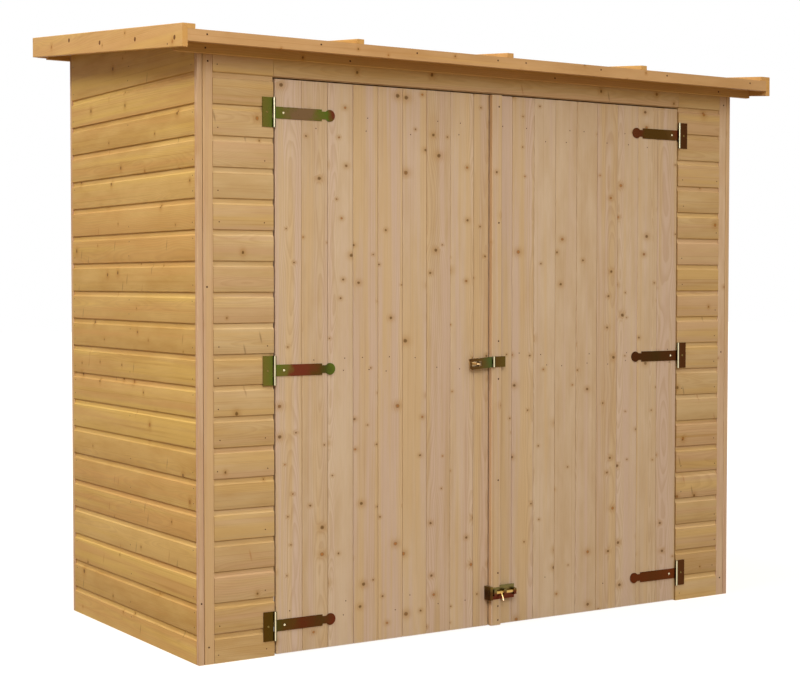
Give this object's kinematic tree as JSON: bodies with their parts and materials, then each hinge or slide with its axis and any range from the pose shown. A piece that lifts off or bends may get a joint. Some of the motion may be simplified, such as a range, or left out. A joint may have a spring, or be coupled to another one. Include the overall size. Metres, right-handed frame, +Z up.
{
  "type": "wooden garden shed",
  "caption": "Timber garden shed with horizontal cladding, a pent roof rising to the back and ledged double doors on T-hinges with a hasp and a barrel bolt.",
  "frame": {"origin": "middle of the footprint, at floor level under the walls", "axes": "+X to the right along the front, +Y from the doors to the back, +Z up"},
  "size_m": [2.248, 1.166, 1.9223],
  "materials": {
    "cladding_timber": "planed softwood, untreated",
    "door_timber": "planed softwood, untreated",
    "trim_timber": "planed softwood, untreated",
    "frame_timber": "planed softwood, untreated",
    "zinc_plated_steel": "yellow zinc plated"
  },
  "bodies": {
    "shed": {"left_wall_cladding": "cladding_timber", "right_wall_cladding": "cladding_timber", "back_wall_cladding": "cladding_timber", "front_wall_left": "cladding_timber", "front_wall_right": "cladding_timber", "front_wall_header": "cladding_timber", "left_wall_studs": "frame_timber", "right_wall_studs": "frame_timber", "back_wall_studs": "frame_timber", "left_wall_rails": "frame_timber", "right_wall_rails": "frame_timber", "back_wall_rails": "frame_timber", "door_posts": "frame_timber", "header_rail": "frame_timber", "threshold_rail": "frame_timber", "front_corner_trims": "trim_timber", "back_corner_trims": "trim_timber", "roof_boards": "cladding_timber", "front_eaves_rail": "frame_timber", "back_eaves_rail": "frame_timber", "roof_purlin": "frame_timber", "front_fascia": "cladding_timber", "back_fascia": "cladding_timber", "left_bargeboard": "cladding_timber", "right_bargeboard": "cladding_timber", "roof_battens": "frame_timber", "left_hinge_plates": "zinc_plated_steel", "right_hinge_plates": "zinc_plated_steel"},
    "left_door": {"left_door_boards": "door_timber", "left_door_ledges": "frame_timber", "left_door_braces": "frame_timber", "left_hinge_straps": "zinc_plated_steel", "hasp_staple": "zinc_plated_steel", "bolt_keeper": "zinc_plated_steel"},
    "right_door": {"right_door_boards": "door_timber", "right_door_ledges": "frame_timber", "right_door_braces": "frame_timber", "right_hinge_straps": "zinc_plated_steel", "door_cover_strip": "trim_timber", "hasp_plate": "zinc_plated_steel", "bolt_body": "zinc_plated_steel"},
    "hasp_arm": {"hasp_arm": "zinc_plated_steel"},
    "bolt_rod": {"bolt_rod": "zinc_plated_steel"}
  },
  "joints": [
    {"name": "right_door_hinge", "type": "hinge", "parent": "shed", "child": "right_door", "pos_m": [0.792, -0.488, 0.853], "axis": [0, 0, 1], "range_deg": [0, 170]},
    {"name": "left_door_hinge", "type": "hinge", "parent": "shed", "child": "left_door", "pos_m": [-0.786, -0.488, 0.845], "axis": [0, 0, -1], "range_deg": [0, 170]},
    {"name": "hasp_arm_hinge", "type": "hinge", "parent": "right_door", "child": "hasp_arm", "pos_m": [-0.0035, -0.504, 0.8515], "axis": [0, 0, 1], "range_deg": [0, 170]},
    {"name": "bolt_slide", "type": "slide", "parent": "right_door", "child": "bolt_rod", "axis": [-1, 0, 0], "range_m": [0, 0.017]}
  ],
  "couplings": [
    {"joint": "left_door_hinge", "follows": "right_door_hinge", "ratio": 1}
  ]
}
